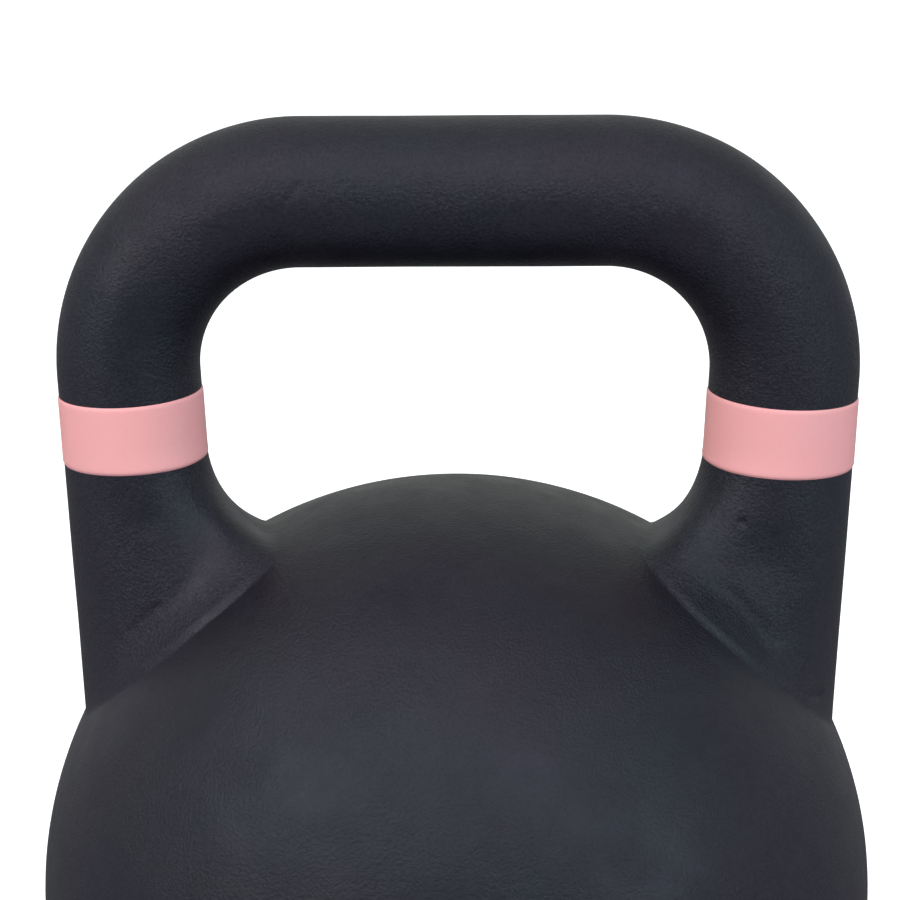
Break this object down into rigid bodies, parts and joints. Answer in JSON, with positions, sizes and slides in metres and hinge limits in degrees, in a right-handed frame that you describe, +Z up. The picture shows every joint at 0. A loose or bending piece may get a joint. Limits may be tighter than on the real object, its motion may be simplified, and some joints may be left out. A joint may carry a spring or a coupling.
{
  "type": "kettlebell",
  "caption": "Iron ball with a flat foot and a looped two-horned handle for two hands, marked by a colour band round each horn.",
  "frame": {"origin": "centre of the flat foot, on the surface that the kettlebell stands on", "axes": "+Z up through the middle of the ball and of the grip; the grip runs along X; Y is front to back through the window"},
  "size_m": [0.186, 0.186, 0.2529],
  "materials": {
    "powder_coat": "fine-textured matt charcoal powder coat over cast iron",
    "colour_band": "flat pink enamel band, satin"
  },
  "bodies": {
    "root": {"ball": "powder_coat", "handle": "powder_coat", "left_band": "colour_band", "right_band": "colour_band"}
  },
  "joints": []
}
